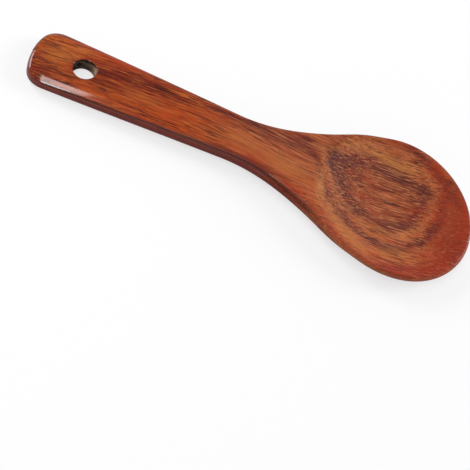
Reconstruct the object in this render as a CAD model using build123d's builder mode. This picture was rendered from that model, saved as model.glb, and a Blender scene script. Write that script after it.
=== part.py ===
from build123d import *
import os
from math import cos, pi, sqrt

# Rice paddle carved from one board of hardwood: a flat handle with a hanging hole,
# a waisted neck and an oval head hollowed into a shallow dish.
# Millimetres. +X runs from the butt of the handle to the tip of the head, +Y across
# the paddle, +Z up out of the dish. The paddle lies on its back on z = 0, with the
# origin under the middle of its length.

# Outline, seen from above
length = 205.0
head_width = 71.0
head_reach = 35.5  # from the widest place to the tip
handle_width = 30.0  # at the corners of the butt
neck_width = 22.4
neck_from_tip = 115.0
butt_bow = 3.8  # how far the end of the butt bulges
butt_corner_radius = 8.5
oval_angle = 108  # of the head's oval, in degrees from the tip round to the flare

# Face: a long gentle arch, crowned across the handle and flat across the head
butt_thickness = 5.8
face_rise = 1.7  # of the arch, above a straight line from butt to tip
crown_radius = 110.0  # across the handle

# Back: rests on the butt and on the belly of the head, arched clear between them
arch_height = 1.8
arch_from_tip = 97.0
belly_from_tip = 39.0
tip_lift = 5.2
rim_thickness = 3.2  # of the board's edge round the head

# Dish, from the step at the neck to the thin rim at the tip
dish_length = 73.6
dish_from_tip = 1.4
dish_from_side = 1.0
dish_depth = 6.0

# Hanging hole
hole_diameter = 10.0
hole_from_butt = 23.0

# Eased edges
face_edge_radius = 1.7
back_edge_bevel = 0.9
dish_edge_radius = 0.4
hole_edge_bevel = 0.4

overrun = 4.0  # by which every cutter passes the wood

# Places on the flare: along it from the neck, and out from the neck's width
flare_shares = ((0.20, 0.053), (0.38, 0.226), (0.55, 0.478), (0.70, 0.743))
tip_slope_share = 0.30  # how steeply the back leaves the table at the tip
edge_share = 0.9  # of the board's edge that its rounding and its bevel may take
stations = 11  # sections that each planed surface passes through

neck_from_butt = length - neck_from_tip
widest_from_butt = length - head_reach
dish_from_butt = length - dish_from_tip - dish_length
dish_width = head_width - 2 * dish_from_side
tip_height = tip_lift + rim_thickness
board = butt_thickness + tip_height + face_rise  # thick enough to plane the paddle from
reach = head_width / 2 + overrun  # of the planed surfaces, each side of the middle


def arc_radius(width, depth):
    # radius of an arc of that width and depth
    return (width**2 / 4 + depth**2) / (2 * depth)


def eased(share):
    # 0 to 1, level at both ends
    return share**2 * (3 - 2 * share)


def face_middle(from_butt):
    # height of the middle of the face
    share = from_butt / length
    chord = butt_thickness + (tip_height - butt_thickness) * share
    return chord + face_rise * 4 * share * (1 - share)


def face_drop(from_butt):
    # how far the crown falls to the sides: all of it up to the neck, none at the dish
    faded = (from_butt - neck_from_butt) / (dish_from_butt - neck_from_butt)
    crown = (1 + cos(pi * min(max(faded, 0), 1))) / 2
    return crown * reach**2 / (2 * crown_radius)


def back_middle(from_butt):
    # height of the middle of the back: up to the arch, down to the belly, up to the tip
    arch, belly = length - arch_from_tip, length - belly_from_tip
    if from_butt < arch:
        return arch_height * eased(max(from_butt / arch, 0))
    if from_butt < belly:
        return arch_height * eased((belly - from_butt) / (belly - arch))
    share = (from_butt - belly) / belly_from_tip
    steep = tip_slope_share * belly_from_tip
    return tip_lift * eased(share) + steep * share**2 * (share - 1)


def back_drop(from_butt):
    # the back is round enough to leave the rim its thickness at the widest place
    sides = face_middle(widest_from_butt) - rim_thickness
    return -(reach**2) / (2 * arc_radius(head_width, sides))


with BuildPart() as paddle:
    # The board, sawn to its outline
    corner = (butt_bow, handle_width / 2)
    neck = (neck_from_butt, neck_width / 2)
    widest = (widest_from_butt, head_width / 2)
    flare = [
        (neck[0] + (widest[0] - neck[0]) * along, neck[1] + (widest[1] - neck[1]) * out)
        for along, out in flare_shares
    ]
    with BuildSketch(Plane((-length / 2, 0, -overrun))) as outline:
        with BuildLine():
            TangentArc((0, 0), corner, tangent=(0, 1))
            side = Line(corner, neck)
            oval = EllipticalCenterArc((widest_from_butt, 0), head_reach, head_width / 2,
                                       arc_size=oval_angle)
            Spline(neck, *flare, oval @ 1, tangents=(side % 1, -(oval % 1)))
            mirror(about=Plane.XZ)
        make_face()
        fillet(outline.vertices().group_by(Axis.X)[0], butt_corner_radius)
    extrude(amount=overrun + board)

    # The back and the face, planed: each cut takes off all that lies between a surface
    # through the stations and the height far
    for middle, drop, far in (
        (back_middle, back_drop, -board),
        (face_middle, face_drop, board + overrun),
    ):
        for station in range(stations):
            from_butt = (length + 2 * overrun) * station / (stations - 1) - overrun
            high = middle(from_butt)
            low = high - drop(from_butt)
            upright = Plane((from_butt - length / 2, 0, 0), x_dir=(0, 1, 0), z_dir=(1, 0, 0))
            with BuildSketch(upright):
                with BuildLine():
                    across = Spline((-reach, low), (0, high), (reach, low))
                    Polyline(across @ 1, (reach, far), (-reach, far), across @ 0)
                make_face()
        loft(mode=Mode.SUBTRACT)

    # The board's edges, bevelled behind and rounded in front before the dish thins them
    face_edges = paddle.faces().sort_by(Axis.Z)[-1].edges()
    back_edges = paddle.faces().sort_by(Axis.Z)[0].edges()
    room = min(1, edge_share * rim_thickness / (face_edge_radius + back_edge_bevel))
    chamfer(back_edges, back_edge_bevel * room)
    fillet(face_edges, face_edge_radius * room)

    # The dish, a hollow with one radius across the head and another along it. Its arc
    # is drawn upside down, beyond the axis, which keeps the seam of the turned hollow
    # away from the wood
    deepest = dish_from_butt + dish_length / 2
    floor_height = face_middle(deepest) - dish_depth
    axis_height = floor_height + arc_radius(dish_length, dish_depth)
    side_radius = arc_radius(dish_width, dish_depth)
    half = dish_width / 2 + overrun
    mouth_height = floor_height + side_radius - sqrt(side_radius**2 - half**2)
    beyond = Plane((deepest - length / 2, 0, 2 * axis_height), x_dir=(0, 1, 0), z_dir=(-1, 0, 0))
    with BuildSketch(beyond):
        with BuildLine():
            hollow = ThreePointArc((-half, mouth_height), (0, floor_height), (half, mouth_height))
            Polyline(hollow @ 1, (half, axis_height), (-half, axis_height), hollow @ 0)
        make_face()
    revolve(axis=Axis((deepest - length / 2, 0, axis_height), (0, 1, 0)), mode=Mode.SUBTRACT)
    dish_floor = paddle.faces(Select.LAST).sort_by(SortBy.AREA)[-1]
    fillet(dish_floor.edges(), dish_edge_radius)

    # The hanging hole, with its rims bevelled
    with Locations((hole_from_butt - length / 2, 0, board)):
        Hole(hole_diameter / 2)
    chamfer(paddle.edges(Select.LAST), hole_edge_bevel)

paddle.part.label = "paddle"
os.makedirs("parts", exist_ok=True)
export_step(paddle.part, "parts/paddle.step")
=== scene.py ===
import bpy
import bmesh
import numpy as np
from mathutils import Matrix, Vector


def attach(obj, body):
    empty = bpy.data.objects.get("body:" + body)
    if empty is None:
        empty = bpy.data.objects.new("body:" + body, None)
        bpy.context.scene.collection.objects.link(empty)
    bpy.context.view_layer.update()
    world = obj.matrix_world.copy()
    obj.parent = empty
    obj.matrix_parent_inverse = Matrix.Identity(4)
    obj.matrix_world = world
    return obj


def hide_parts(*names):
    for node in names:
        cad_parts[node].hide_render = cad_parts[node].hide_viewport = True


# Rice paddle of lacquered reddish hardwood, lying on a pale floor in soft studio light.
# Lengths are millimetres, and the studio's are metres; "s" runs from the butt to the tip.

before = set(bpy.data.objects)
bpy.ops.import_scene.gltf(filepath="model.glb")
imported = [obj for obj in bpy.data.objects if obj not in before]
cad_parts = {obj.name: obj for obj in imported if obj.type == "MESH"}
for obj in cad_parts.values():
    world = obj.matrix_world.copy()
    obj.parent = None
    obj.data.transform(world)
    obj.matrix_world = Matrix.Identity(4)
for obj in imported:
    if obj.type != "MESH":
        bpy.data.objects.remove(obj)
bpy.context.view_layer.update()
print("stage: frame loaded, nodes", sorted(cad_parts))

mm = 0.001

paddleForm = {
    "length": 205.0,
    "handleHalf": 15.0,
    "neckHalf": 11.2,
    "neckAt": 90.0,
    "buttBow": 3.8,
    "cornerRadius": 8.5,
    "headRadius": 35.5,
    "ovalAngle": 108.0,
    "flareShares": ((0.20, 0.053), (0.38, 0.226), (0.55, 0.478), (0.70, 0.743)),
    "buttThickness": 5.8,
    "tipHeight": 8.4,
    "faceRise": 1.7,
    "crownRadius": 110.0,
    # The edges as sanded by hand: at these places along the paddle, the rounding of the
    # face's edge and how far the face rolls off beside it, on the near and the far side
    "edgeAt": (0, 45, 90, 122, 142, 157, 168, 205),
    "nearEdge": (1.3, 1.3, 2.0, 3.0, 2.3, 1.7, 1.7, 1.5),
    "nearRoll": (0.85, 0.85, 0.9, 0.7, 0.35, 0.1, 0.0, 0.0),
    "farEdge": (1.1, 1.1, 1.2, 1.1, 1.1, 1.1, 1.1, 1.2),
    "farRoll": (0.5, 0.5, 0.3, 0.2, 0.2, 0.1, 0.0, 0.0),
    "rollWidth": 5.2,
    "archHeight": 1.8,
    "archAt": 108.0,
    "bellyAt": 166.0,
    "tipLift": 5.2,
    "tipSlope": 0.30,
    "rimThickness": 3.2,
    "dishFrom": 130.0,
    "dishTo": 203.6,
    "dishHalf": 34.5,
    "dishDepth": 6.0,
    "dishEdge": 0.45,  # how softly the face turns into the dish
    "backEdge": 1.3,
    "holeAt": 23.0,
    "holeRadius": 5.0,
    "holeEdge": 0.35,
    # The mesh: how finely the outline is drawn and evened out, then the band of faces
    # that follows it, the grids between, and the collar and the wall of the hole
    "cornerSteps": 60,
    "curveSteps": 400,
    "outlineStep": 0.1,
    "outlineSoftness": 1.0,
    "inset": 5.4,  # width of the band
    "bandSteps": 14,
    "bandCrowding": 1.2,  # above 1, faces get narrower towards the edge
    "edgeSteps": 8,
    "sideSteps": 6,
    "rows": 380,
    "columns": 72,
    "collarAlong": 3.5,
    "collarAcross": 3.0,
    "collarSteps": 11,
    "boreEdgeSteps": 6,
    "boreSteps": 8,
    "weldWithin": 0.002,
    "dropBelow": 0.001,  # edges shorter than this are taken out
}


def smoothStep(low, high, value):
    # 0 below low, 1 above high, and level at both
    share = np.clip((value - low) / (high - low), 0, 1)
    return share * share * (3 - 2 * share)


def arcRadius(width, depth):
    # radius of the arc over a chord: a quarter of its width squared plus its depth
    # squared, over twice the depth
    return (width**2 / 4 + depth**2) / (2 * depth)


def smoothCurve(points, startSlope, endSlope, count):
    # Cubic curve through the points, whose slopes at the points are found together so
    # that the curve bends evenly; on each span the curve is the Hermite blend of its
    # two ends and their slopes.
    points = np.array(points, float)
    steps = np.diff(points, axis=0)
    spans = np.hypot(*steps.T)
    last = len(points) - 1
    system, right = np.zeros((last + 1, last + 1)), np.zeros((last + 1, 2))
    system[0, 0] = system[last, last] = 1
    right[0], right[last] = startSlope, endSlope
    inner = np.arange(1, last)
    before, after = 1 / spans[inner - 1], 1 / spans[inner]
    system[inner, inner - 1], system[inner, inner + 1] = before, after
    system[inner, inner] = 2 * (before + after)
    right[inner] = 3 * (
        steps[inner - 1] * before[:, None] ** 2 + steps[inner] * after[:, None] ** 2
    )
    slopes = np.linalg.solve(system, right)
    places = np.linspace(0, last, count)
    span = np.minimum(places.astype(int), last - 1)
    t = (places - span)[:, None]
    long = spans[span][:, None]
    return (
        points[span] * (1 + 2 * t) * (1 - t) ** 2
        + slopes[span] * long * t * (1 - t) ** 2
        + points[span + 1] * t**2 * (3 - 2 * t)
        + slopes[span + 1] * long * t**2 * (t - 1)
    )


def arcPoints(centre, radius, start, end, count):
    # points of a circle's arc from one angle to another
    angles = np.linspace(start, end, count)
    return np.array(centre) + radius * np.stack([np.cos(angles), np.sin(angles)], 1)


def outlineHalf(form):
    # One side of the outline from the butt to the tip: the butt's bow, its rounded
    # corner, the straight side, the flare and the head's circle, then evened out along
    # its length by a bell-shaped average. Returns places and outward directions.
    half, bow, corner = form["handleHalf"], form["buttBow"], form["cornerRadius"]
    buttRadius = (bow**2 + half**2) / (2 * bow)
    buttCentre = np.array([buttRadius, 0.0])
    shoulder = np.array([bow, half])
    neck = np.array([form["neckAt"], form["neckHalf"]])
    along = (neck - shoulder) / np.hypot(*(neck - shoulder))
    inward = np.array([along[1], -along[0]])
    offset = shoulder + corner * inward - buttCentre
    back = offset @ along
    slide = -back - np.sqrt(back**2 - offset @ offset + (buttRadius - corner) ** 2)
    cornerCentre = buttCentre + offset + slide * along
    toCorner = np.arctan2(*(cornerCentre - buttCentre)[::-1])
    toSide = np.arctan2(*(-inward)[::-1])
    headCentre = np.array([form["length"] - form["headRadius"], 0.0])
    widest = headCentre + (0, form["headRadius"])
    flare = [neck + (widest - neck) * share for share in np.array(form["flareShares"])]
    ovalEnd = np.radians(form["ovalAngle"])
    ovalStart = headCentre + form["headRadius"] * np.array([np.cos(ovalEnd), np.sin(ovalEnd)])
    few, many = form["cornerSteps"], form["curveSteps"]
    upper = np.concatenate([
        arcPoints(buttCentre, buttRadius, np.pi, toCorner, few),
        arcPoints(cornerCentre, corner, toCorner, toSide, few),
        smoothCurve([neck, *flare, ovalStart], along, (np.sin(ovalEnd), -np.cos(ovalEnd)), many),
        arcPoints(headCentre, form["headRadius"], ovalEnd, 0, many),
    ])
    whole = np.concatenate([upper, (upper * (1, -1))[::-1][1:]])
    lengths = np.append(0, np.cumsum(np.hypot(*np.diff(whole, axis=0).T)))
    count = 2 * round(lengths[-1] / form["outlineStep"] / 2)

    def pick(where, places, table):
        # both columns of the table, at the places asked for
        return np.stack([np.interp(where, places, table[:, axis]) for axis in (0, 1)], 1)

    loop = pick(np.linspace(0, lengths[-1], count, endpoint=False), lengths, whole)
    width = form["outlineSoftness"] / (lengths[-1] / count)
    far = np.minimum(np.arange(count), count - np.arange(count))
    bell = np.exp(-((far / width) ** 2) / 2)
    bell /= bell.sum()
    loop = np.real(np.fft.ifft(np.fft.fft(loop, axis=0) * np.fft.fft(bell)[:, None], axis=0))
    tangent = np.roll(loop, -1, axis=0) - np.roll(loop, 1, axis=0)
    tangent /= np.hypot(*tangent.T)[:, None]
    outward = np.stack([-tangent[:, 1], tangent[:, 0]], 1)
    rows, numbers = np.linspace(0, count / 2, form["rows"] + 1), np.arange(count)
    place, facing = pick(rows, numbers, loop), pick(rows, numbers, outward)
    place[[0, -1], 1] = 0
    facing[0], facing[-1] = (-1, 0), (1, 0)
    return place, facing


def evenly(s, places, values):
    # between values given at places, eased so that it has no corners
    after = np.clip(np.searchsorted(places, s, side="right"), 1, len(places) - 1)
    places, values = np.array(places, float), np.array(values, float)
    return values[after - 1] + (values[after] - values[after - 1]) * smoothStep(
        places[after - 1], places[after], s)


def handleShare(form, s):
    # 1 along the handle, falling by half a cosine wave to 0 where the dish begins
    share = (s - form["neckAt"]) / (form["dishFrom"] - form["neckAt"])
    return (1 + np.cos(np.pi * np.clip(share, 0, 1))) / 2


def faceMiddle(form, s):
    # straight line from butt to tip plus a parabola
    share = s / form["length"]
    chord = form["buttThickness"] + (form["tipHeight"] - form["buttThickness"]) * share
    return chord + form["faceRise"] * 4 * share * (1 - share)


def faceHeight(form, s, y):
    # the face without its dish: its middle, less a parabola across the handle
    return faceMiddle(form, s) - y**2 / (2 * form["crownRadius"]) * handleShare(form, s)


def dishHeight(form, s, y):
    # A hollow turned about an axis that lies across the paddle: an arc across it, carried
    # round the axis on a longer arc.
    reach = (form["dishTo"] - form["dishFrom"]) / 2
    middle = form["dishFrom"] + reach
    bottom = faceMiddle(form, middle) - form["dishDepth"]
    across = arcRadius(2 * form["dishHalf"], form["dishDepth"])
    along = arcRadius(2 * reach, form["dishDepth"])
    rise = across - np.sqrt(np.clip(across**2 - y**2, 0, None))
    return bottom + along - np.sqrt(np.clip((along - rise) ** 2 - (s - middle) ** 2, 0, None))


def topHeight(form, s, y, drop):
    # the lower of the face and the dish, with the corner between them eased
    face, dish = faceHeight(form, s, y) - drop, dishHeight(form, s, y)
    return (face + dish - np.sqrt((face - dish) ** 2 + form["dishEdge"] ** 2)) / 2


def backHeight(form, s, y):
    # Smooth steps up to the arch and down to the belly, a cubic up to the tip, and a
    # parabola across.
    arch, belly = form["archAt"], form["bellyAt"]
    toTip = (s - belly) / (form["length"] - belly)
    steep = form["tipSlope"] * (form["length"] - belly)
    rising = form["tipLift"] * toTip**2 * (3 - 2 * toTip) + steep * toTip**2 * (toTip - 1)
    middle = np.where(
        s < belly,
        form["archHeight"] * smoothStep(0, arch, s) * (1 - smoothStep(arch, belly, s)),
        rising,
    )
    sides = faceMiddle(form, form["length"] - form["headRadius"]) - form["rimThickness"]
    return middle + y**2 / (2 * arcRadius(2 * form["headRadius"], sides))


def quads(shape, wrap=False):
    # corner numbers of the faces of a grid of points, wrapped along its first side
    rows, columns = shape
    first = np.arange(rows if wrap else rows - 1)[:, None] * columns + np.arange(columns - 1)
    second = (first + columns) % (rows * columns)
    return np.stack([first, second, second + 1, first + 1], -1)


def buildPaddle(form):
    # The body is a band of faces that follows the outline, from the face over the rounded
    # edge and the side to the back, a grid across the face and another across the back,
    # and a tube of faces through the hole, all sharing their rims.
    place, facing = outlineHalf(form)
    s, y = place.T
    quarter = np.linspace(0, np.pi / 2, form["edgeSteps"] + 1)
    flat = 1 - np.linspace(1, 0, form["bandSteps"] + 1)[:-1] ** form["bandCrowding"]
    noDrop = np.zeros((len(s), len(flat)))

    def bandOf(radius, roll, heightOf):
        # In from the outline by the inset, then round the edge by a quarter circle. The
        # roll adds a quarter ellipse, far wider than deep.
        radius = radius[:, None]
        inward = form["inset"] + (radius - form["inset"]) * flat
        depth = np.concatenate([inward, radius * (1 - np.sin(quarter))], 1)
        drop = np.concatenate([noDrop, radius * (1 - np.cos(quarter))], 1)
        share = np.clip(1 - depth / form["rollWidth"], 0, 1)
        drop = drop + roll[:, None] * (1 - np.sqrt(1 - share**2))
        bandS = s[:, None] - depth * facing[:, :1]
        bandY = y[:, None] - depth * facing[:, 1:]
        return bandS, bandY, heightOf(bandS, bandY, drop)

    def sideOf(edgeName, rollName):
        # one side of the paddle: face, rounded edge, upright side, rounded edge, back
        radius, roll = (evenly(s, form["edgeAt"], form[name]) for name in (edgeName, rollName))
        top = bandOf(radius, roll, lambda a, b, drop: topHeight(form, a, b, drop))
        back = bandOf(form["backEdge"] * np.ones_like(s), 0 * s,
                      lambda a, b, drop: backHeight(form, a, b) + drop)
        down = np.linspace(0, 1, form["sideSteps"] + 1)[1:-1]
        middle = (
            s[:, None] * np.ones_like(down),
            y[:, None] * np.ones_like(down),
            top[2][:, -1:] + (back[2][:, -1:] - top[2][:, -1:]) * down,
        )
        return np.stack([np.concatenate([t, m, b[:, ::-1]], 1)
                         for t, m, b in zip(top, middle, back)], -1)

    far, near = sideOf("farEdge", "farRoll"), sideOf("nearEdge", "nearRoll") * (1, -1, 1)

    across = np.linspace(-1, 1, form["columns"] + 1)
    innerS = far[:, :1, 0] * np.ones_like(across)
    innerY = far[:, :1, 1] * across
    grids = [
        np.stack([innerS, innerY, topHeight(form, innerS, innerY, 0)], -1),
        np.stack([innerS, innerY, backHeight(form, innerS, innerY)], -1),
    ]

    # the rectangle of the grids that the hole takes out, and its rim as one loop
    soft, opening = form["holeEdge"], form["holeRadius"]
    rowIn = np.flatnonzero(np.abs(innerS[:, 0] - form["holeAt"]) < opening + form["collarAlong"])
    first, last = rowIn[0], rowIn[-1]
    columnIn = np.flatnonzero(np.abs(innerY[(first + last) // 2]) < opening + form["collarAcross"])
    low, high = columnIn[0], columnIn[-1]
    loopRows = np.concatenate([
        np.arange(first, last), np.full(high - low, last),
        np.arange(last, first, -1), np.full(high - low, first),
    ])
    loopColumns = np.concatenate([
        np.full(last - first, low), np.arange(low, high),
        np.full(last - first, high), np.arange(high, low, -1),
    ])
    rim = grids[0][loopRows, loopColumns, :2]
    turn = np.arctan2(rim[:, 1], rim[:, 0] - form["holeAt"])[:, None]
    ease = np.linspace(0, np.pi / 2, form["boreEdgeSteps"] + 1)[1:]
    blend = np.linspace(0, 1, form["collarSteps"] + 1)
    collar = opening + soft
    flatS = rim[:, :1] * (1 - blend) + (form["holeAt"] + collar * np.cos(turn)) * blend
    flatY = rim[:, 1:] * (1 - blend) + collar * np.sin(turn) * blend
    bore = opening + soft * (1 - np.sin(ease))
    roundS, roundY = form["holeAt"] + bore * np.cos(turn), bore * np.sin(turn)
    upper = np.concatenate([topHeight(form, flatS, flatY, 0),
                            topHeight(form, roundS, roundY, 0) - soft * (1 - np.cos(ease))], 1)
    lower = np.concatenate([backHeight(form, flatS, flatY),
                            backHeight(form, roundS, roundY) + soft * (1 - np.cos(ease))], 1)
    ringS, ringY = np.concatenate([flatS, roundS], 1), np.concatenate([flatY, roundY], 1)
    through = np.linspace(0, 1, form["boreSteps"] + 1)[1:-1]
    wallS, wallY = ringS[:, -1:] * np.ones_like(through), ringY[:, -1:] * np.ones_like(through)
    wallZ = upper[:, -1:] + (lower[:, -1:] - upper[:, -1:]) * through
    tube = np.stack([
        np.concatenate([ringS, wallS, ringS[:, ::-1]], 1),
        np.concatenate([ringY, wallY, ringY[:, ::-1]], 1),
        np.concatenate([upper, wallZ, lower[:, ::-1]], 1),
    ], -1)

    points, faces, start = [], [], 0
    cut = np.ones((form["rows"], form["columns"]), bool)
    cut[first:last, low:high] = False
    for surface, wrap, keep in (
        (far, False, None), (near, False, None),
        (grids[0], False, cut), (grids[1], False, cut), (tube, True, None),
    ):
        corners = quads(surface.shape[:2], wrap)
        corners = corners[keep] if keep is not None else corners.reshape(-1, 4)
        points.append(surface.reshape(-1, 3))
        faces.append(corners.reshape(-1, 4) + start)
        start += len(points[-1])
    points = (np.concatenate(points) - (form["length"] / 2, 0, 0)) * mm
    mesh = bpy.data.meshes.new("paddleBody")
    mesh.from_pydata(points.tolist(), [], np.concatenate(faces).tolist())
    body = bmesh.new()
    body.from_mesh(mesh)
    bmesh.ops.remove_doubles(body, verts=body.verts, dist=form["weldWithin"] * mm)
    bmesh.ops.dissolve_degenerate(body, edges=body.edges, dist=form["dropBelow"] * mm)
    bmesh.ops.recalc_face_normals(body, faces=body.faces)
    loose = [v for v in body.verts if not v.link_faces]
    bmesh.ops.delete(body, geom=loose, context="VERTS")
    openEdges = sum(1 for e in body.edges if len(e.link_faces) != 2)
    body.to_mesh(mesh)
    body.free()
    mesh.shade_smooth()
    piece = bpy.data.objects.new("paddleBody", mesh)
    bpy.context.scene.collection.objects.link(piece)
    print("stage: paddle built,", len(mesh.polygons), "faces,", openEdges, "open edges")
    return piece


# The figure of the wood in the paddle's plane, with a few marks of painted shade and painted
# highlight among them. Each mark is an ellipse: s and y of its middle, half its length, half
# its width, its turn in degrees and its strength.
figureAndPaintedLightMarks = {
    "darkMark": (
        (137, 10, 8, 5.5, -38, 1.0),
        (144, -6, 10, 3.0, -40, 0.5),
        (169, 18, 16, 3.2, -6, 0.8),
        (181, 15.5, 5, 2.6, 0, 0.9),
        (191, 23.5, 6, 1.6, -20, 0.7),
        (183, -11, 5, 2.4, 40, 0.9),
        (187.5, -3, 6, 2.4, 65, 0.9),
        (148, -4, 8, 2.2, -38, 0.6),
        (147, -13.5, 8, 1.8, -30, 0.6),
        (163, -20.5, 9, 1.9, -4, 0.6),
        (48, -8.5, 12, 0.5, 5, 0.8),
        (37, -11.3, 9, 0.5, 3, 0.7),
        (56, 4.5, 8, 0.5, 6, 0.8),
        (9, 6.5, 6, 0.45, 14, 0.8),
        (14, 1.2, 7, 0.4, 13, 0.7),
        (13, 10, 7, 0.4, 14, 0.7),
        (159.5, 7.8, 7, 0.5, 10, 0.9),
        (155, -7, 6, 0.5, -8, 0.9),
        (166, 3.5, 9, 0.45, 6, 0.7),
        (163, -14.5, 8, 0.45, 4, 0.7),
        (112, 7.5, 24, 3.0, 3, 0.5),
        (96, 3.5, 20, 1.2, 2, 0.4),
        (17, -6.3, 8, 1.2, 6, 0.6),
        (32, -3.5, 5, 1.2, 2, 0.6),
        (53, 1.2, 11, 0.45, 4, 0.8),
        (39, 7.5, 12, 2.0, 3, 0.45),
        (35, 0.5, 11, 6.4, 8, 1.0),
        # painted shade: the dark band on the near shoulder of the neck
        (100, -10.3, 18, 1.3, -3, 0.7),
        (147, 12, 9, 4.0, -50, 0.6),
        (197, -8, 5, 12, 10, 0.35),
        (58, 7, 9, 2.4, 4, 0.6),
        (13, -11, 9, 1.5, 2, 0.5),
        (172, -19.5, 8, 1.9, 18, 0.6),
        (194, 17, 7, 3.2, -52, 0.5),
        (125, 12, 7, 3.2, 8, 0.45),
    ),
    "goldMark": (
        (162, 23.5, 12, 2.2, 2, 1.0),
        # painted sheen: a lighter stripe at the left end of the dish
        (133.5, -8, 11, 2.6, -82, 1.0),
        (142, -17, 8, 4, -50, 0.5),
        (150, -24, 16, 3.8, -30, 0.9),
        (160, -13, 10, 3.0, -10, 0.5),
        (10.5, 2.5, 8, 7, 20, 1.0),
        (18, 8.5, 9, 2.6, 16, 0.7),
        (50, -2.5, 11, 3.4, 4, 0.8),
        (92, -3, 14, 3.0, 0, 0.5),
        (118, -6, 12, 4.5, -6, 0.5),
        (141, 21, 6, 2.0, 40, 0.6),
        # painted highlight: a thin light line along the dish's upper left edge
        (137, 17, 11, 0.8, 57, 1.0),
        (156, 25, 12, 0.8, 4, 0.7),
        (174, -24, 13, 3.6, 16, 0.6),
    ),
    "calmMark": (
        (110, -6, 21, 6.5, -9, 1.0),
        (150, -25, 20, 5.5, -28, 0.9),
    ),
    "redMark": (
        (186, 26, 9, 4.0, -40, 1.0),
        (193, 17, 9, 5.5, -52, 1.0),
        (188, -3, 4, 9, -8, 0.7),
        (196, 0, 14, 30, 0, 0.9),
        (182, -30, 16, 4.0, 22, 0.5),
        (60, -3, 30, 8, 0, 0.3),
        (100, -6, 14, 3, 0, 0.4),
        (30, 12, 18, 2.2, -1, 0.9),
        (33, 1, 10, 6.0, 0, 0.5),
        # painted shade: the dark red band on the near shoulder of the neck and the flare
        (100, -10.4, 17, 1.5, -3, 0.9),
        (121, -14.8, 11, 1.4, -27, 0.8),
    ),
}
# The growth layers: their tilts, where the handle's tilt turns into the head's, where the
# tilt along starts from nothing, and where they bulge, each bulge with its height in place
# of a strength.
woodLayers = {
    "across": -0.074,
    "handle": -0.018,
    "head": 0.048,
    "from": 112.0,
    "to": 140.0,
    "level": 160.0,
    "driftAt": (0, 80, 105, 135, 150, 205),
    "drift": (0.04, 0.04, -0.08, 0.0, 0.13, 0.10),  # slopes of the grain at those places
    "bulges": ((134, 9, 9, 6, -20, -1.7), (162, 21, 16, 8, 0, 1.1), (184, 17, 8, 8, 0, -0.5)),
    "samples": 821,  # of the slopes along the paddle, four to the millimetre
}
# Where the finish and the painted shade change: each pair is the start and the end of a smooth
# step.
finishAndShadeZones = {
    # over the upward part of the surface's direction: 1 on the face, -1 on the back
    "face": (-0.3, 0.1),
    "dishFloor": (0.2, 0.6),
    # over the size of that part: 1 where the surface is level, 0 where it is upright
    # side, nearRim and farRim: where shade is painted on the upright sides and the rounded edges,
    # and where the coat thins
    "side": (0.1, 0.5),
    "nearRim": (0.55, 0.97),
    "farRim": (0.80, 0.99),
    "worn": (0.93, 0.995),
    # along the paddle
    "wornFar": (20, 40),
    "satin": (75, 105),
    "wornNear": (104, 116),
    "nearSatin": (112, 124),
    # paleSide and paleRim lessen that painted shade towards the near side of the head; crest makes
    # that edge paler
    "paleSide": (116, 138),
    "paleRim": (126, 148),
    "crest": (132, 150),
    "glossyTip": (165, 190),
    # across it towards the camera, outwards from the hole, along from the step at the
    # neck, and down from the face
    "near": (-4, 4),
    "bore": (0.02, 0.22),
    "dishRun": (-4, 6),
    "dishDeep": (0.1, 1.5),
}


def ellipses(marks, s, y):
    # the strongest of soft ellipses, each fading as exp(-(distance in it)^3)
    total = np.zeros(len(s))
    for atS, atY, halfLong, halfWide, turn, strength in marks:
        cos, sin = np.cos(np.radians(turn)), np.sin(np.radians(turn))
        u = ((s - atS) * cos + (y - atY) * sin) / halfLong
        v = ((y - atY) * cos - (s - atS) * sin) / halfWide
        here = strength * np.exp(-np.hypot(u, v) ** 3)
        total = np.where(np.abs(here) > np.abs(total), here, total)
    return total


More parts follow.
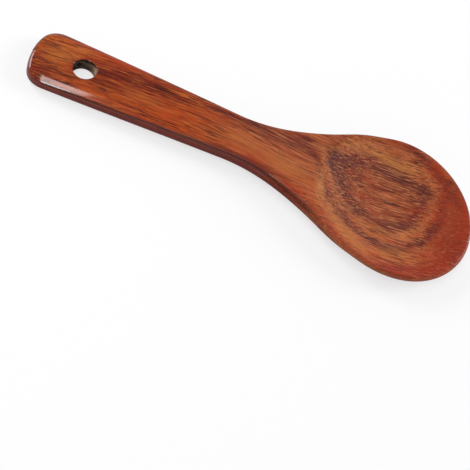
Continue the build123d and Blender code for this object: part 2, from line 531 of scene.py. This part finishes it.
def paintFigure(piece, form, zones):
    # Writes the wood's slow figure, the zones of its finish and where shade is painted on the
    # piece's points. The growth layers lie almost flat: a point's layer is its height plus a tilt
    # across and a tilt along that turns from the handle's to the head's, plus the bulges.
    mesh = piece.data
    count = len(mesh.vertices)
    where, normals = np.empty(count * 3, np.float32), np.empty(count * 3, np.float32)
    mesh.vertices.foreach_get("co", where)
    mesh.vertices.foreach_get("normal", normals)
    where = where.reshape(-1, 3).astype(float) / mm
    s, y, z = where[:, 0] + form["length"] / 2, where[:, 1], where[:, 2]
    upward = normals.reshape(-1, 3)[:, 2]
    level = np.abs(upward)
    table = np.linspace(0, form["length"], woodLayers["samples"])

    def summed(slope):
        # the heights that the slopes add up to along the table
        return np.append(0, np.cumsum((slope[1:] + slope[:-1]) / 2 * np.diff(table)))

    def zone(name, measure):
        return smoothStep(*zones[name], measure)

    turned = smoothStep(woodLayers["from"], woodLayers["to"], table)
    run = summed(woodLayers["handle"] + (woodLayers["head"] - woodLayers["handle"]) * turned)
    run -= np.interp(woodLayers["level"], table, run)
    sway = summed(np.interp(table, woodLayers["driftAt"], woodLayers["drift"]))
    values = {name: ellipses(marks, s, y) for name, marks in figureAndPaintedLightMarks.items()}
    values["drift"] = np.interp(s, table, sway)
    values["layer"] = (z + woodLayers["across"] * y + np.interp(s, table, run)
                       + ellipses(woodLayers["bulges"], s, y))

    bore = 1 - zone("bore", np.hypot(s - form["holeAt"], y) - form["holeRadius"])
    # painted shade: the upright sides are given a darker colour, and their coat thins
    side = (1 - zone("side", level)) * (1 - bore)
    # the near half of the face mirrors the strips of light; the back is as the far half
    near = zone("near", -y) * zone("face", upward)
    # painted shade: the rounded edges are given a darker colour, narrower on the far side, and
    # their coat thins
    rimFrom, rimTo = (a + (b - a) * (1 - near) for a, b in zip(zones["nearRim"], zones["farRim"]))
    rim = (1 - smoothStep(rimFrom, rimTo, level)) * (1 - side) * (1 - bore)
    # the near edge of the head is made paler
    crest = (rim + side) * zone("crest", s) * near
    worn = (1 - zone("worn", level)) * np.maximum(
        zone("wornNear", s) * near, 0.8 * (1 - near) * zone("wornFar", s))
    # less painted shade on the near edges of the neck and the head
    rim = rim * (1 - near * (0.15 + 0.75 * zone("paleRim", s)))
    side = side * (1 - 0.75 * zone("paleSide", s) - 0.25 * crest)
    # the dish's floor is satin, and so, in part, are the neck and the head beside it
    floor = (zone("dishDeep", faceHeight(form, s, y) - z) * zone("dishRun", s - form["dishFrom"])
             * zone("dishFloor", upward))
    satin = 0.3 * zone("satin", s) + 0.6 * zone("nearSatin", s) * near
    hollow = np.maximum(floor, satin * (1 - 0.6 * zone("glossyTip", s) * (1 - near)))
    values.update(bore=bore, side=side, rim=rim, crest=crest, worn=worn, hollow=hollow)
    for name, numbers in values.items():
        layer = mesh.attributes.new(name, "FLOAT", "POINT")
        layer.data.foreach_set("value", numbers.astype(np.float32))


class Signal:
    # one socket of a shader graph, on which arithmetic adds Math nodes
    def __init__(self, graph, socket):
        self.graph, self.socket = graph, socket

    def port(self, key):
        # another output of the same node
        return Signal(self.graph, self.socket.node.outputs[key])

    def maths(self, operation, *values):
        return self.graph.add("ShaderNodeMath", {"operation": operation}, values)

    def __add__(self, other): return self.maths("ADD", self, other)
    def __radd__(self, other): return self.maths("ADD", other, self)
    def __sub__(self, other): return self.maths("SUBTRACT", self, other)
    def __rsub__(self, other): return self.maths("SUBTRACT", other, self)
    def __mul__(self, other): return self.maths("MULTIPLY", self, other)
    def __rmul__(self, other): return self.maths("MULTIPLY", other, self)
    def __truediv__(self, other): return self.maths("DIVIDE", self, other)

    def step(self, low, high):
        # 0 below low and 1 above high, smooth between
        settings = {"interpolation_type": "SMOOTHSTEP"}
        return self.graph.add("ShaderNodeMapRange", settings, (self, low, high, 0.0, 1.0))


class Graph:
    # the node tree of a material or of the world
    def __init__(self, owner):
        owner.use_nodes = True
        self.tree = owner.node_tree
        self.tree.nodes.clear()

    def add(self, kind, settings=None, values=(), output=0):
        # one node: its settings first, then its sockets by place or by name
        node = self.tree.nodes.new(kind)
        for name, value in (settings or {}).items():
            if name == "stops":
                ramp = node.color_ramp.elements
                while len(ramp) < len(value):
                    ramp.new(0.5)
                for element, (position, colour) in zip(ramp, value):
                    element.position, element.color = position, (*colour, 1)
            else:
                setattr(node, name, value)
        pairs = values.items() if isinstance(values, dict) else enumerate(values)
        for key, value in pairs:
            if isinstance(value, Signal):
                self.tree.links.new(value.socket, node.inputs[key])
            elif value is not None:
                node.inputs[key].default_value = value
        return Signal(self, node.outputs[output]) if node.outputs else None

    def attribute(self, name):
        return self.add("ShaderNodeAttribute", {"attribute_name": name}, output="Fac")

    def mix(self, factor, first, second, blend="MIX"):
        settings = {"data_type": "RGBA", "blend_type": blend}
        return self.add("ShaderNodeMix", settings, {0: factor, 6: first, 7: second}, output=2)


def paint(red, green, blue, alpha=None):
    # a colour given in 0 to 255 as a screen shows it, as the renderer counts it
    shares = np.array([red, green, blue]) / 255
    linear = np.where(shares <= 0.04045, shares / 12.92, ((shares + 0.055) / 1.055) ** 2.4)
    return tuple(float(c) for c in linear) + (() if alpha is None else (alpha,))


woodFinish = {
    "layers": (  # layer height in mm, colour
        (1.5, (162, 82, 42)),
        (3.6, (158, 78, 43)),
        (4.5, (102, 40, 35)),
        (5.3, (188, 108, 60)),
        (6.0, (168, 80, 40)),
        (6.7, (108, 40, 30)),
        (7.5, (176, 94, 52)),
        (9.0, (170, 68, 32)),
        (11.0, (150, 48, 24)),
    ),
    "handleTone": (1.0, 0.62, 0.22, 1.0),  # multiplies the colours of the handle
    "dark": (84, 26, 22),
    "gold": (184, 114, 54),
    "red": (150, 42, 12),
    "light": (194, 124, 80),
    "stroke": (66, 22, 16),
    "pore": (48, 18, 13),
    # painted shade: the colours given to the upright sides and to the rounded edges
    "side": (112, 22, 12),
    "rim": (74, 20, 12),
    "bore": (222, 190, 162),
    # painted shade at the top of the hole and to one side, and the colour of its flecks
    "boreDark": (36, 26, 26),
    "roughness": 0.22,
    "hollowRoughness": 0.56,
    "coatWeight": 0.95,
    "coatRoughness": 0.07,
    "satinSpread": 0.12,  # of the hollow's roughness
    "specular": 0.12,
    "hollowSpecular": 0.24,
    "coatIor": 1.6,
    "bumpStrength": 1.0,
    "bumpDistance": 0.00012,  # metres
    # each noise of the grain: its length and its width in mm, where it starts, its detail
    "grain": {
        "wideSway": (70, 22, 3.0, 2.0),
        "fineSway": (14, 3, 5.0, 2.0),
        "ribbon": (46, 3.4, 11.0, 2.0),
        "broad": (90, 7, 23.0, 2.0),
        "feather": (8, 0.6, 29.0, 2.0),
        "streaks": (28, 0.8, 37.0, 3.0),
        "strokes": (11, 0.45, 51.0, 2.0),
        "sheen": (15, 0.42, 91.0, 2.0),
        "pores": (2.6, 0.24, 67.0, 1.0),
        "glow": (22, 4.5, 71.0, 2.0),
        "mottle": (4.5, 2.0, 83.0, 3.0),
    },
    "sway": (7.0, 1.6),  # mm by which the wide and the fine sway push the grain aside
    "waviness": (1.4, 1.0, 1.7),  # mm by which ribbon, broad and feather shift the layers
    # between which values of its noise, or places in mm, each of these sets in
    "steps": {
        "texture": (0.32, 0.68),
        "glow": (0.48, 0.72),
        "streaks": (0.37, 0.47),
        "strokes": (0.38, 0.45),
        "sheen": (0.54, 0.64),
        "pores": (0.62, 0.72),
        "neck": (-40, 10),
        # boreTurn and boreTop set where shade is painted in the hole, to one side and at its top;
        # boreFleck sets its flecks
        "boreTurn": (3, -6),
        "boreFleck": (0.35, 0.75),
        "boreTop": (5.2, 6.5),
    },
}


def lacqueredWood(finish, holeX):
    # One wood under two lacquers, glossy and satin, that are mixed by the hollow's mark
    material = bpy.data.materials.new("lacqueredWood")
    graph = Graph(material)
    place = graph.add("ShaderNodeTexCoord", output="Object")
    split = graph.add("ShaderNodeSeparateXYZ", None, (place,))
    x, y, z = (split.port(axis) / mm for axis in range(3))

    def fibres(name, aside=0.0):
        # noise drawn out along the paddle and pushed aside across it
        along, across, start, detail = finish["grain"][name]
        vector = graph.add("ShaderNodeCombineXYZ", None,
                           (x / along + start, (y + aside) / across, z / across))
        return graph.add("ShaderNodeTexNoise", {"noise_dimensions": "3D"},
                         {"Vector": vector, "Scale": 1.0, "Detail": detail, "Roughness": 0.55})

    wide, fine = finish["sway"]
    wander = ((fibres("wideSway") - 0.5) * wide + (fibres("fineSway") - 0.5) * fine
              - graph.attribute("drift"))
    ribbon, broad, feather, streaks, strokes, sheen, pores, glow = (
        fibres(name, wander) for name in (
            "ribbon", "broad", "feather", "streaks", "strokes", "sheen", "pores", "glow"))
    mottle = fibres("mottle")
    hollow, side, rim, crest, worn, bore = (
        graph.attribute(name) for name in ("hollow", "side", "rim", "crest", "worn", "bore"))
    dark, gold, red, calm = (
        graph.attribute(name) for name in ("darkMark", "goldMark", "redMark", "calmMark"))

    def sets(name, value):
        return value.step(*finish["steps"][name])

    def tint(colour, factor, shade):
        return graph.mix(factor, colour, paint(*finish[shade], 1.0))

    # the growth layers' colours
    byRibbon, byBroad, byFeather = finish["waviness"]
    layer = (graph.attribute("layer") + (ribbon - 0.5) * byRibbon + (broad - 0.5) * byBroad
             + (feather - 0.5) * byFeather)
    low, high = finish["layers"][0][0], finish["layers"][-1][0]
    stops = [((height - low) / (high - low), paint(*shade)) for height, shade in finish["layers"]]
    colour = graph.add("ShaderNodeValToRGB", {"stops": stops}, ((layer - low) / (high - low),))

    # the marks, broken up by the streaks
    texture = sets("texture", streaks)
    colour = tint(colour, sets("glow", glow) * 0.55, "red")
    # some of the gold marks are painted sheen and painted highlight on the dish
    colour = tint(colour, gold * (0.45 + 0.55 * texture), "gold")
    colour = tint(colour, red * 0.8, "red")
    colour = tint(colour, dark * (1 - 0.6 * texture), "dark")

    # the grain's lines, weaker where the marks are plain
    plain = (1 - 0.75 * red) * (1 - 0.25 * gold) * (1 - 0.6 * calm)
    onHandle = 1 - sets("neck", x)
    heavy = (0.5 + 0.25 * onHandle) * plain
    sharp = (0.6 + 0.15 * hollow + 0.2 * dark + 0.35 * onHandle) * plain
    silky = (0.5 + 0.2 * hollow + 0.3 * onHandle) * plain
    porous = sets("pores", pores) * (0.3 + 0.35 * hollow) * plain
    colour = tint(colour, (1 - sets("streaks", streaks)) * heavy, "stroke")
    colour = tint(colour, (1 - sets("strokes", strokes)) * sharp, "stroke")
    colour = tint(colour, sets("sheen", sheen) * silky, "light")
    colour = tint(colour, porous, "pore")
    shade = graph.add("ShaderNodeCombineColor", None, [0.9 + 0.44 * mottle] * 3)
    colour = graph.mix(1.0, colour, shade, "MULTIPLY")
    colour = graph.mix(onHandle * (1 - 0.4 * gold), colour, finish["handleTone"], "MULTIPLY")

    # painted shade on the rounded edges and the upright sides, the near edge of the head paler,
    # and the bare wood in the hole with painted shade at its top and to one side, and its flecks
    colour = tint(colour, rim * 0.95, "rim")
    colour = tint(colour, side * 0.85, "side")
    colour = tint(colour, crest * 0.25, "light")
    holeShadeAndFlecks = (sets("boreTurn", x - holeX - y) * 0.8 + sets("boreFleck", mottle) * 0.3
             + sets("boreTop", z) * 0.7)
    bareWoodWithShade = graph.mix(holeShadeAndFlecks, paint(*finish["bore"], 1.0), paint(*finish["boreDark"], 1.0))
    colour = graph.mix(bore, colour, bareWoodWithShade)

    height = strokes * 0.5 + streaks * 0.3 - porous * 1.6 + mottle * 0.3
    bump = graph.add("ShaderNodeBump", None, {
        "Strength": finish["bumpStrength"], "Distance": finish["bumpDistance"], "Height": height})
    coat = (finish["coatWeight"] * (1 - 0.88 * side) * (1 - 0.6 * rim) * (1 - 0.95 * worn)
            * (1 - bore))
    glossy = graph.add("ShaderNodeBsdfPrincipled", None, {
        "Base Color": colour, "Roughness": finish["roughness"] + bore * 0.6, "Normal": bump,
        "Specular IOR Level": finish["specular"], "Coat Weight": coat,
        "Coat Roughness": finish["coatRoughness"], "Coat IOR": finish["coatIor"],
    })
    satin = graph.add("ShaderNodeBsdfPrincipled", None, {
        "Base Color": colour, "Normal": bump, "Specular IOR Level": finish["hollowSpecular"],
        "Roughness": finish["hollowRoughness"] + (mottle - 0.5) * finish["satinSpread"],
    })
    shader = graph.add("ShaderNodeMixShader", None, (hollow * 0.85, glossy, satin))
    graph.add("ShaderNodeOutputMaterial", None, {"Surface": shader})
    return material


paddle = buildPaddle(paddleForm)
paintFigure(paddle, paddleForm, finishAndShadeZones)
holeX = paddleForm["holeAt"] - paddleForm["length"] / 2
paddle.data.materials.append(lacqueredWood(woodFinish, holeX))
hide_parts("paddle")
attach(paddle, "root")
print("stage: wood finished")

# Studio, in metres: a pale floor, a pale horizon under a dimmer sky, and soft boxes
studio = {
    "floorSize": 12.0,
    "floorColour": (0.37, 0.37, 0.375, 1.0),
    "floorGlow": 0.65,
    "farGlow": 0.23,  # more glow far from the lamps, so that the floor stays white
    "farFrom": 0.4,
    "farTo": 2.4,
    "horizon": (0.16, (0.9, 0.9, 0.92)),  # height in the sky, colour
    "zenith": (0.55, (0.16, 0.16, 0.165)),
    "skyStrength": 1.0,
    "boxes": {
        # name: place, aimed at, width, depth, brightness of its face
        "overheadStrip": ((-0.285, 0.14, 1.00), (-0.08, 0.0, 0.0), 0.12, 0.40, 5.0),
        "frontStrip": ((-0.285, -0.42, 0.90), (-0.08, 0.0, 0.0), 0.12, 0.66, 12.0),
        "keyBox": ((1.00, 0.55, 0.48), (0.0, 0.0, 0.0), 0.55, 0.50, 9.0),
        "leftBox": ((-0.90, 0.42, 0.62), (0.0, 0.0, 0.0), 0.50, 0.45, 7.0),
        "neckBox": ((0.00, -0.72, 0.80), (0.0, 0.0, 0.0), 0.18, 0.18, 1.5),
    },
}


def buildStudio(values):
    size = values["floorSize"] / 2
    corners = [(-size, -size, 0), (size, -size, 0), (size, size, 0), (-size, size, 0)]
    mesh = bpy.data.meshes.new("floor")
    mesh.from_pydata(corners, [], [(0, 1, 2, 3)])
    floor = bpy.data.objects.new("floor", mesh)
    bpy.context.scene.collection.objects.link(floor)
    material = bpy.data.materials.new("paleFloor")
    graph = Graph(material)
    place = graph.add("ShaderNodeTexCoord", output="Object")
    away = graph.add("ShaderNodeVectorMath", {"operation": "LENGTH"}, (place,), output="Value")
    path = graph.add("ShaderNodeLightPath")
    seen = (path.port("Is Camera Ray") + path.port("Is Glossy Ray")
            + path.port("Is Transmission Ray"))
    glow = values["floorGlow"] + values["farGlow"] * away.step(values["farFrom"], values["farTo"])
    shader = graph.add("ShaderNodeBsdfPrincipled", None, {
        "Base Color": values["floorColour"], "Roughness": 0.9, "Specular IOR Level": 0.0,
        "Emission Color": graph.add("ShaderNodeCombineColor", None, [seen * glow] * 3),
        "Emission Strength": 1.0,
    })
    graph.add("ShaderNodeOutputMaterial", None, {"Surface": shader})
    mesh.materials.append(material)

    world = bpy.data.worlds.new("studio")
    bpy.context.scene.world = world
    graph = Graph(world)
    direction = graph.add("ShaderNodeTexCoord", output="Generated")
    climb = graph.add("ShaderNodeSeparateXYZ", None, (direction,), output=2)
    stops = [values["horizon"], values["zenith"]]
    sky = graph.add("ShaderNodeValToRGB", {"stops": stops}, (climb,))
    seen = graph.add("ShaderNodeLightPath", output="Is Camera Ray")
    sky = graph.mix(seen, sky, (1.0, 1.0, 1.0, 1.0))
    background = graph.add("ShaderNodeBackground", None, {0: sky, 1: values["skyStrength"]})
    graph.add("ShaderNodeOutputWorld", None, {0: background})

    for name, (at, aim, width, depth, brightness) in values["boxes"].items():
        light = bpy.data.lights.new(name, "AREA")
        light.shape, light.size, light.size_y = "RECTANGLE", width, depth
        light.energy = brightness * np.pi * width * depth
        box = bpy.data.objects.new(name, light)
        outOf = (Vector(at) - Vector(aim)).normalized()
        wide = (Vector((1, 0, 0)) - outOf * outOf.x).normalized()
        turned = Matrix((wide, outOf.cross(wide), outOf)).transposed().to_4x4()
        box.matrix_world = Matrix.Translation(at) @ turned
        bpy.context.scene.collection.objects.link(box)


# The photograph's camera: where it stands, where its axis meets the floor, its turn
# about that axis, and its focal length in pixels of the 470 pixel frame
photoView = {
    "stand": (-38.81, -242.19, 306.71),
    "aim": (4.02, -42.11, 0.0),
    "roll": -33.327,
    "focalPixels": 900.7,
    "framePixels": 470,
    "sensor": 36.0,
}


def buildCamera(values):
    stand, aim = (Vector(values[name]) * mm for name in ("stand", "aim"))
    forward = (aim - stand).normalized()
    level = forward.cross(Vector((0, 0, 1))).normalized()
    downward = forward.cross(level)
    cos, sin = np.cos(np.radians(values["roll"])), np.sin(np.radians(values["roll"]))
    right = cos * level + sin * downward
    up = sin * level - cos * downward
    data = bpy.data.cameras.new("photoCamera")
    data.sensor_width = values["sensor"]
    data.lens = values["focalPixels"] / values["framePixels"] * values["sensor"]
    data.clip_start = 0.01
    camera = bpy.data.objects.new("photoCamera", data)
    turned = Matrix((right, up, -forward)).transposed().to_4x4()
    camera.matrix_world = Matrix.Translation(stand) @ turned
    bpy.context.scene.collection.objects.link(camera)
    bpy.context.scene.camera = camera


buildStudio(studio)
buildCamera(photoView)
bpy.context.scene.view_settings.view_transform = "Standard"
print("stage: studio and camera set")

bpy.context.view_layer.update()
